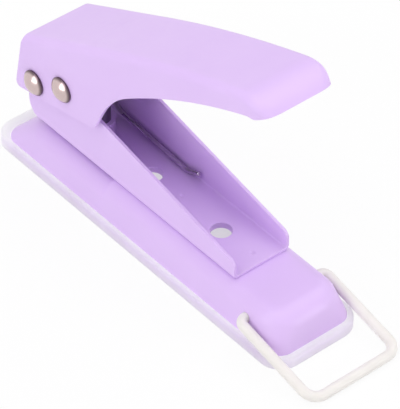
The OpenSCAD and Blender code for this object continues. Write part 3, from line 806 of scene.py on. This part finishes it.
def tray_skin():
    """Closed skin of the tray: level loops up its outside, over the rim and into its pocket.

    Each loop is an inset of the tray's or the pocket's outline at a height. The edge on the table,
    the rim's outer edge, the pocket's upper edge and its root are quarter circles, and the
    pocket's floor and the underside are flat.
    """
    half = np.array([TRAY_LEN, TRAY_W]) / 2
    pocket_low = np.array([FOOT_REAR - TRAY_GAP, -FOOT_HALF - TRAY_GAP])
    pocket_high = np.array([FOOT_FRONT + TRAY_GAP, FOOT_HALF + TRAY_GAP])
    pocket_r = BASE_CORNER_R + TRAY_GAP
    b, n = TRAY_BREAK, TRAY_BREAK_POINTS
    outside = np.concatenate([
        arc((b, b), b, HALF_TURN + UPRIGHT, HALF_TURN, n),
        arc((TRAY_EDGE_R, TRAY_H - TRAY_EDGE_R), TRAY_EDGE_R, HALF_TURN, UPRIGHT, TRAY_RIM_POINTS),
    ])
    inside = np.concatenate([
        arc((-b, TRAY_H - b), b, UPRIGHT, 0, n),
        arc((b, TRAY_FLOOR + b), b, HALF_TURN, HALF_TURN + UPRIGHT, n),
    ])
    loops = [tray_loop(-half + d, half - d, TRAY_CORNER_R - d, z) for d, z in outside]
    loops += [tray_loop(pocket_low + d, pocket_high - d, pocket_r - d, z) for d, z in inside]
    return closed_skin(np.stack(loops))


# Wires and turned pieces

def tube_skin(path, out, radius, sides):
    """Round bar along a path: each ring is its point plus radius times (out cos t + side sin t).

    The side direction is square to the path and to out. Both ends close with a small round:
    END_RINGS more rings that shrink along a quarter circle.
    """
    along = np.gradient(path, axis=0)
    along /= np.linalg.norm(along, axis=1, keepdims=True)
    out = out - np.sum(out * along, axis=1, keepdims=True) * along
    out /= np.linalg.norm(out, axis=1, keepdims=True)
    side = np.cross(along, out)
    t = np.arange(sides) * FULL_TURN / sides
    ring = out[:, None] * cos(t)[:, None] + side[:, None] * sin(t)[:, None]
    q = np.linspace(0, UPRIGHT, END_RINGS + 1)[1:, None, None]
    end_r = radius * END_ROUND
    shrink = radius - end_r * (1 - cos(q))
    first = path[0] - along[0] * end_r * (sin(q) - 1) + ring[0] * shrink
    last = path[-1] + along[-1] * end_r * (sin(q) - 1) + ring[-1] * shrink
    body = path[:, None] + radius * ring
    body[0] += along[0] * end_r
    body[-1] -= along[-1] * end_r
    return closed_skin(np.concatenate([first[::-1], body, last]))


def spring_path():
    """Centre line of the spring: flat upper end, upper leg, coil, and lower leg with its tip.

    The coil is a circle about the fulcrum whose place across the punch grows evenly with its turn.
    Legs leave it along its tangents, and their corners are rounded.
    """
    upper_z = LEVER_TOP - LEVER_T - WIRE_R - SPRING_GAP
    upper_rise = upper_z - COIL_R * cos(UPPER_LEG_ANGLE)
    upper_x = -COIL_R * sin(UPPER_LEG_ANGLE) + upper_rise / tan(UPPER_LEG_ANGLE)
    coil_start = UPRIGHT + OPEN_PITCH + UPPER_LEG_ANGLE - FULL_TURN * COIL_TURNS
    coil_end = -UPRIGHT - LEG_FALL
    count = int((coil_end - coil_start) / FULL_TURN * COIL_POINTS)
    coil = arc(FULCRUM, COIL_R, coil_start, coil_end, count)
    upper = to_open_lever([[upper_x + UPPER_LEG_END, 0, upper_z], [upper_x, 0, upper_z]])
    upper = upper[:, [0, 2]]
    upper_bend = fillet(upper[0], upper[1], coil[0], LEG_BEND_R, UPPER_BEND_POINTS)
    knee = coil[-1] + LEG_DROP_LEN * np.array([1, -tan(LEG_FALL)])
    touch = np.array([knee[0] + LEG_RUN_LEN, BASE_H + FRAME_T + WIRE_R + SPRING_GAP])
    tip = touch + LEG_TIP * ray(LEG_TIP_RISE)
    knee_bend = fillet(coil[-1], knee, touch, LEG_BEND_R, KNEE_POINTS)
    touch_bend = fillet(knee, touch, tip, LEG_BEND_R, TOUCH_POINTS)
    before = np.concatenate([
        between(upper[0], upper_bend[0], UPPER_END_POINTS),
        upper_bend[1:],
        between(upper_bend[-1], coil[0], LEG_POINTS)[1:-1],
    ])
    after = np.concatenate([
        between(coil[-1], knee_bend[0], LEG_POINTS)[1:],
        knee_bend[1:],
        between(knee_bend[-1], touch_bend[0], RUN_POINTS)[1:],
        touch_bend[1:],
        between(touch_bend[-1], tip, TIP_POINTS)[1:],
    ])
    across = np.linspace(-LEG_Y, LEG_Y, count)
    across = np.r_[np.full(len(before), -LEG_Y), across, np.full(len(after), LEG_Y)]
    return side_view(np.concatenate([before, coil, after]), across)


def spring_skin():
    """Wire of the spring: a round section along its path, one axis close to the turning axis."""
    path = spring_path()
    out = np.cross(np.gradient(path, axis=0), [0, 1, 0])
    return tube_skin(path, out, WIRE_R, WIRE_SIDES)


def bail_skin():
    """Lock bail: a round bar from a pin, round a tight bend, along an arm and round to the bar.

    The other half is its mirror image. The flat loop is then turned down by its droop about the
    pivot, so that the bar rests just over the table.
    """
    side_y = FOOT_HALF - (BAIL_PIVOT[1] - BAIL_R - TRAY_H) * tan(SIDE_LEAN)
    arm_y = side_y + BAIL_SIDE_GAP + BAIL_R
    pin_end = np.array([0, side_y - BASE_WALL - BAIL_PIN_IN])
    bar_middle = np.array([BAIL_REACH, 0])
    droop = np.degrees(np.arcsin((BAIL_PIVOT[1] - BAIL_R - BAIL_TABLE_GAP) / BAIL_REACH))
    root_at = (BAIL_ROOT_R, arm_y - BAIL_ROOT_R)
    root = arc(root_at, BAIL_ROOT_R, HALF_TURN, UPRIGHT, BAIL_ROOT_POINTS)
    bend_at = (BAIL_REACH - BAIL_BEND_R, arm_y - BAIL_BEND_R)
    bend = arc(bend_at, BAIL_BEND_R, UPRIGHT, 0, BAIL_BEND_POINTS)
    half = np.concatenate([
        between(pin_end, root[0], BAIL_PIN_POINTS)[:-1],
        root,
        between(root[-1], bend[0], BAIL_ARM_POINTS)[1:-1],
        bend,
        between(bend[-1], bar_middle, BAIL_BAR_POINTS)[1:-1],
    ])
    x, y = np.concatenate([half, [bar_middle], half[::-1] * [1, -1]]).T
    path = np.stack([BAIL_PIVOT[0] + x * cos(droop), y, BAIL_PIVOT[1] - x * sin(droop)], axis=-1)
    up = np.broadcast_to([sin(droop), 0, cos(droop)], path.shape)
    return tube_skin(path, up, BAIL_R, BAIL_SIDES)


def rivet_skin(x, z, grip):
    """Rivet about a cross axis: a shank between two low domes with a small upright rim.

    The profile, as radius and place along the axis, is turned round the axis.
    """
    dome_h = RIVET_HEAD_H - RIVET_RIM_H
    dome_r = (RIVET_HEAD_R ** 2 + dome_h ** 2) / (2 * dome_h)
    spread = np.degrees(np.arcsin(RIVET_HEAD_R / dome_r))
    seat = grip / 2
    dome_at = (0, seat + RIVET_HEAD_H - dome_r)
    cap = arc(dome_at, dome_r, UPRIGHT - spread, UPRIGHT - POLE_TURN, CAP_POINTS)
    stem = [
        [RIVET_R, 0],
        [RIVET_R, seat],
        [RIVET_HEAD_R - RIVET_BREAK, seat],
        [RIVET_HEAD_R, seat + RIVET_BREAK],
    ]
    end = np.concatenate([stem, cap])
    r, y = np.concatenate([end[:0:-1] * [1, -1], end]).T[..., None]
    t = np.arange(TURNED_SIDES) * FULL_TURN / TURNED_SIDES
    return closed_skin(np.stack(np.broadcast_arrays(x + r * cos(t), y, z + r * sin(t)), axis=-1))


# Finishes

def linear(hex_colour):
    """An sRGB hex colour as linear red, green, blue and a full alpha."""
    c = np.array([int(hex_colour[k:k + 2], 16) for k in (0, 2, 4)]) / 255
    return (*np.where(c <= 0.04045, c / 12.92, ((c + 0.055) / 1.055) ** 2.4), 1.0)


def add(tree, kind, inputs=None, **settings):
    """Adds a node with settings; an input is a plain value or another node's output to link."""
    node = tree.nodes.new(kind)
    for field, value in settings.items():
        setattr(node, field, value)
    for socket, value in (inputs or {}).items():
        if isinstance(value, bpy.types.NodeSocket):
            tree.links.new(value, node.inputs[socket])
        else:
            node.inputs[socket].default_value = value
    return node


def start_finish(name):
    """A new material with its node tree, its surface shader and its Object coordinates."""
    material = bpy.data.materials.new(name)
    material.use_nodes = True
    tree = material.node_tree
    place = add(tree, "ShaderNodeTexCoord").outputs["Object"]
    return material, tree, tree.nodes["Principled BSDF"], place


def per_metre(size_mm):
    """Pattern scale that gives features of a real size."""
    return 1 / (size_mm * MM)


def dress(tree, shader, pale, deep, cloud, grain, relief, depth_mm, patches, gloss):
    """Gives a surface its tone, relief and gloss from three noises.

    The cloud mixes the deep and the pale colour, the grain raises the surface, by the relief's
    strength and a depth, and the patches spread the roughness between the two values of the gloss.
    """
    tone = add(tree, "ShaderNodeMix", {
        "Factor": cloud.outputs["Fac"], "A": linear(deep), "B": linear(pale)}, data_type="RGBA")
    bump = add(tree, "ShaderNodeBump", {
        "Height": grain.outputs["Fac"], "Strength": relief, "Distance": depth_mm * MM})
    rough = add(tree, "ShaderNodeMapRange", {
        "Value": patches.outputs["Fac"], "From Min": NOISE_LOW, "From Max": NOISE_HIGH,
        "To Min": gloss[0], "To Max": gloss[1]})
    tree.links.new(tone.outputs["Result"], shader.inputs["Base Color"])
    tree.links.new(rough.outputs["Result"], shader.inputs["Roughness"])
    tree.links.new(bump.outputs["Normal"], shader.inputs["Normal"])


def clouded_finish(name, pale, deep, gloss, sizes_mm, relief, depth_mm, grain_detail=SOFT_DETAIL):
    """Paint or plastic whose tone, relief and gloss, in this order, are noises of real sizes."""
    material, tree, shader, place = start_finish(name)
    details = (SOFT_DETAIL, grain_detail, SOFT_DETAIL)
    cloud, grain, patches = (
        add(tree, "ShaderNodeTexNoise", {
            "Vector": place, "Scale": per_metre(size), "Detail": detail})
        for size, detail in zip(sizes_mm, details))
    dress(tree, shader, pale, deep, cloud, grain, relief, depth_mm, patches, gloss)
    return material, shader


def powder_coat():
    """Lilac polyester powder coat on pressed steel, melted to an even skin.

    It shows a soft orange peel and a satin gloss.
    """
    material, shader = clouded_finish(
        "lilac_powder_coat", "E0C4F5", "DABCF1", gloss=(0.32, 0.4), sizes_mm=(18, 1.3, 2.5),
        relief=0.05, depth_mm=0.05, grain_detail=1.5)
    shader.inputs["Specular IOR Level"].default_value = PAINT_SHEEN
    return material


def polyethylene():
    """Natural polyethylene, injection moulded: milky and waxy, so that its edges glow.

    A large share of the light passes its thin walls, spread evenly and tinted by their own tone.
    """
    material, shader = clouded_finish(
        "milky_polyethylene", "F8F8F9", "F4F3F4", gloss=(0.3, 0.38), sizes_mm=(9, 2.2, 3),
        relief=0.1, depth_mm=0.05)
    shader.inputs["IOR"].default_value = POLYETHYLENE_IOR
    tree = material.node_tree
    through = add(tree, "ShaderNodeBsdfTranslucent", {
        socket: shader.inputs[source].links[0].from_socket
        for socket, source in (("Color", "Base Color"), ("Normal", "Normal"))})
    both = add(tree, "ShaderNodeMixShader", {
        0: TRAY_MILK, 1: shader.outputs[0], 2: through.outputs[0]})
    tree.links.new(both.outputs[0], tree.nodes["Material Output"].inputs["Surface"])
    return material


def moulded_plastic(name, pale, deep, roughness):
    """Unfilled moulded plastic, in which light spreads a little, with the even grain of its mould.

    The real grain of a spark-cut mould is about 0.05 mm; it is drawn several times coarser, so
    that it shows.
    """
    material, shader = clouded_finish(
        name, pale, deep, gloss=roughness + PLASTIC_GLOSS_SPREAD, sizes_mm=(6, 0.3, 2),
        relief=0.12, depth_mm=0.03)
    shader.inputs["Subsurface Weight"].default_value = SCATTER
    shader.inputs["Subsurface Radius"].default_value = (1, 1, 1)
    shader.inputs["Subsurface Scale"].default_value = SCATTER_MM * MM
    return material


def bright_metal(name, pale, deep, roughness, grain_mm, stretch):
    """Bare or plated metal: fine marks of drawing or turning break up its shine and its tone.

    The marks are one noise, stretched by its three axes' factors.
    """
    material, tree, shader, place = start_finish(name)
    drawn = add(tree, "ShaderNodeMapping", {"Vector": place, "Scale": stretch})
    marks = add(tree, "ShaderNodeTexNoise", {
        "Vector": drawn.outputs["Vector"], "Scale": per_metre(grain_mm), "Detail": MARK_DETAIL})
    gloss = roughness + METAL_GLOSS_SPREAD
    dress(tree, shader, pale, deep, marks, marks, METAL_RELIEF, METAL_DEPTH_MM, marks, gloss)
    shader.inputs["Metallic"].default_value = 1.0
    return material


def rivet_nickel(name, x, z):
    """Nickel plate on a rivet about a cross axis at x and z: bright, with a painted dark rim.

    The rim is painted reflection and shade: the dark surroundings mirrored by the head's edge,
    and the shadow in the gap beneath it. Its share grows smoothly with the distance from
    the axis, from RIM_START of the head's radius.
    """
    material = bright_metal(
        name, "D6C2C0", "CBB6B6", roughness=0.2, grain_mm=3.0, stretch=(1, 1, 1))
    tree = material.node_tree
    shader = tree.nodes["Principled BSDF"]
    tone = shader.inputs["Base Color"].links[0].from_socket
    place = add(tree, "ShaderNodeTexCoord").outputs["Object"]
    way = add(tree, "ShaderNodeVectorMath", {
        0: place, 1: (x * MM, 0, z * MM)}, operation="SUBTRACT")
    across = add(tree, "ShaderNodeVectorMath", {
        0: way.outputs[0], 1: (1, 0, 1)}, operation="MULTIPLY")
    reach = add(tree, "ShaderNodeVectorMath", {0: across.outputs[0]}, operation="LENGTH")
    rim = add(tree, "ShaderNodeMapRange", {
        "Value": reach.outputs["Value"],
        "From Min": RIM_START * RIVET_HEAD_R * MM,
        "From Max": RIVET_HEAD_R * MM,
    }, interpolation_type="SMOOTHSTEP")
    # Painted dark rim: painted reflection and shade at the head's edge, drawn as a mauve-brown tone
    painted_dark_rim = add(tree, "ShaderNodeMix", {
        "Factor": rim.outputs["Result"], "A": tone, "B": linear("6A5A60")}, data_type="RGBA")
    tree.links.new(painted_dark_rim.outputs["Result"], shader.inputs["Base Color"])
    return material


lilac = powder_coat()
milky = polyethylene()
off_white = moulded_plastic("off_white_acetal", "E8E5E2", "E3DFDB", roughness=0.45)
nylon = moulded_plastic("natural_nylon", "E6E2D8", "DED9CD", roughness=0.42)
spring_steel = bright_metal(
    "drawn_spring_wire", "C8BECC", "BEB2C4", roughness=0.26, grain_mm=2.0, stretch=(0.25, 1, 1))
tool_steel = bright_metal(
    "oiled_tool_steel", "8F8C94", "7C7881", roughness=0.34, grain_mm=0.6, stretch=(1, 1, 0.1))

# Pieces

lever = make_piece("lever_pressing", lever_skin(), lilac, "lever", "lever")
make_sheet_metal(lever, LEVER_T, SHEET_BREAK)
base = make_piece("base_pressing", base_skin(), lilac, "base", "base_shell")
make_sheet_metal(base, BASE_WALL, SHEET_BREAK)
channel = make_piece(
    "channel_pressing", frame_skin(), lilac, "base", "channel_frame")
make_sheet_metal(channel, FRAME_T, CHANNEL_BREAK)
tray = make_piece("tray_moulding", tray_skin(), milky, "tray", "chip_tray")
soften(tray, TRAY_BREAK / 2)
make_piece("bail_moulding", bail_skin(), off_white, "bail", "lock_bail")
fulcrum = make_piece(
    "fulcrum_pin", rivet_skin(*FULCRUM, 2 * (LEVER_HALF + SIDE_GAP)),
    rivet_nickel("nickel_plate", *FULCRUM), "base", "fulcrum_rivet")
soften(fulcrum, SIDE_GAP)
drive_x, _, drive_z = to_open_lever([DRIVE_PIN[0], 0, DRIVE_PIN[1]])
drive = make_piece(
    "drive_pin", rivet_skin(drive_x, drive_z, 2 * LEVER_HALF),
    rivet_nickel("nickel_plate_drive", drive_x, drive_z), "lever", "drive_rivet")
soften(drive, SIDE_GAP)
spring = make_piece(
    "spring_wire_form", spring_skin(), spring_steel, None, "return_spring")
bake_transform(spring)

inner_finishes = {
    "die_plate": tool_steel,
    "punch_guide": lilac,
    "punch_pin": tool_steel,
    "drive_sleeve": tool_steel,
    "spring_bobbin": nylon,
    "fulcrum_washers": nylon,
}
for node, finish in inner_finishes.items():
    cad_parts[node].data.materials.clear()
    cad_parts[node].data.materials.append(finish)


# Stage

def stand(name, data, right, up, back, at):
    """An object whose own axes are right, up and back, put at a point in millimetres."""
    holder = bpy.data.objects.new(name, data)
    axes = np.c_[right, up, back, np.asarray(at) * MM]
    holder.matrix_world = Matrix(np.vstack([axes, [0, 0, 0, 1]]).tolist())
    bpy.context.scene.collection.objects.link(holder)
    return holder


def set_camera():
    """Camera of the photograph; it looks a little to the right of the origin and above it."""
    data = bpy.data.cameras.new("photo_camera")
    data.lens = CAMERA_LENS
    data.sensor_width = SENSOR
    level = cos(CAMERA_ELEVATION)
    right = np.array([cos(CAMERA_AZIMUTH), sin(CAMERA_AZIMUTH), 0])
    back = np.array([
        sin(CAMERA_AZIMUTH) * level, -cos(CAMERA_AZIMUTH) * level, sin(CAMERA_ELEVATION)])
    up = np.cross(back, right)
    eye = right * CAMERA_AIM[0] + up * CAMERA_AIM[1] + back * CAMERA_DISTANCE
    bpy.context.scene.camera = stand("photo_camera", data, right, up, back, eye)


def seen_directly(tree):
    """One for rays from the camera, a mirror or clear plastic, zero for rays that carry light."""
    path = add(tree, "ShaderNodeLightPath").outputs
    mirror = add(tree, "ShaderNodeMath", {
        0: path["Is Camera Ray"], 1: path["Is Glossy Ray"]}, operation="MAXIMUM")
    clear = add(tree, "ShaderNodeMath", {
        0: mirror.outputs[0], 1: path["Is Transmission Ray"]}, operation="MAXIMUM")
    return clear.outputs[0]


def set_world():
    """White surrounding: seen as plain white, and giving an even light of WORLD_LIGHT."""
    world = bpy.data.worlds.new("white_studio")
    world.use_nodes = True
    tree = world.node_tree
    surround = tree.nodes["Background"]
    surround.inputs["Color"].default_value = (1, 1, 1, 1)
    strength = add(tree, "ShaderNodeMapRange", {
        "Value": seen_directly(tree), "To Min": WORLD_LIGHT, "To Max": 1.0})
    tree.links.new(strength.outputs["Result"], surround.inputs["Strength"])
    bpy.context.scene.world = world


def set_floor():
    """White paper sweep: matt, to keep the shadow, with a white glow for rays that see it."""
    paper = bpy.data.materials.new("white_paper_sweep")
    paper.use_nodes = True
    tree = paper.node_tree
    tree.nodes.remove(tree.nodes["Principled BSDF"])
    matt = add(tree, "ShaderNodeBsdfDiffuse", {"Color": linear("F4F4F4")})
    glow = add(tree, "ShaderNodeEmission", {"Color": (1, 1, 1, 1), "Strength": 1.0})
    share = add(tree, "ShaderNodeMath", {
        0: seen_directly(tree), 1: FLOOR_GLOW}, operation="MULTIPLY")
    both = add(tree, "ShaderNodeMixShader", {
        0: share.outputs[0], 1: matt.outputs[0], 2: glow.outputs[0]})
    tree.links.new(both.outputs[0], tree.nodes["Material Output"].inputs["Surface"])
    sweep = bpy.data.meshes.new("sweep")
    corners = np.array([[-1, -1], [1, -1], [1, 1], [-1, 1]]) * FLOOR_HALF
    corners = np.c_[corners, np.full(len(corners), -FLOOR_GAP)] * MM
    sweep.from_pydata(corners.tolist(), [], [[0, 1, 2, 3]])
    sweep.materials.append(paper)
    floor = bpy.data.objects.new("sweep", sweep)
    bpy.context.scene.collection.objects.link(floor)


def set_lamps():
    """Soft boxes, each turned to the origin: its back axis runs from there to its place."""
    for name, place, size, power in LAMPS:
        lamp = bpy.data.lights.new(name, "AREA")
        lamp.size = size * MM
        lamp.energy = power
        back = np.array(place) / np.linalg.norm(place)
        right = np.cross([0, 0, 1], back)
        right /= np.linalg.norm(right)
        stand(name, lamp, right, np.cross(back, right), back, place)


set_camera()
set_world()
set_floor()
set_lamps()
bpy.context.scene.view_settings.view_transform = "Standard"
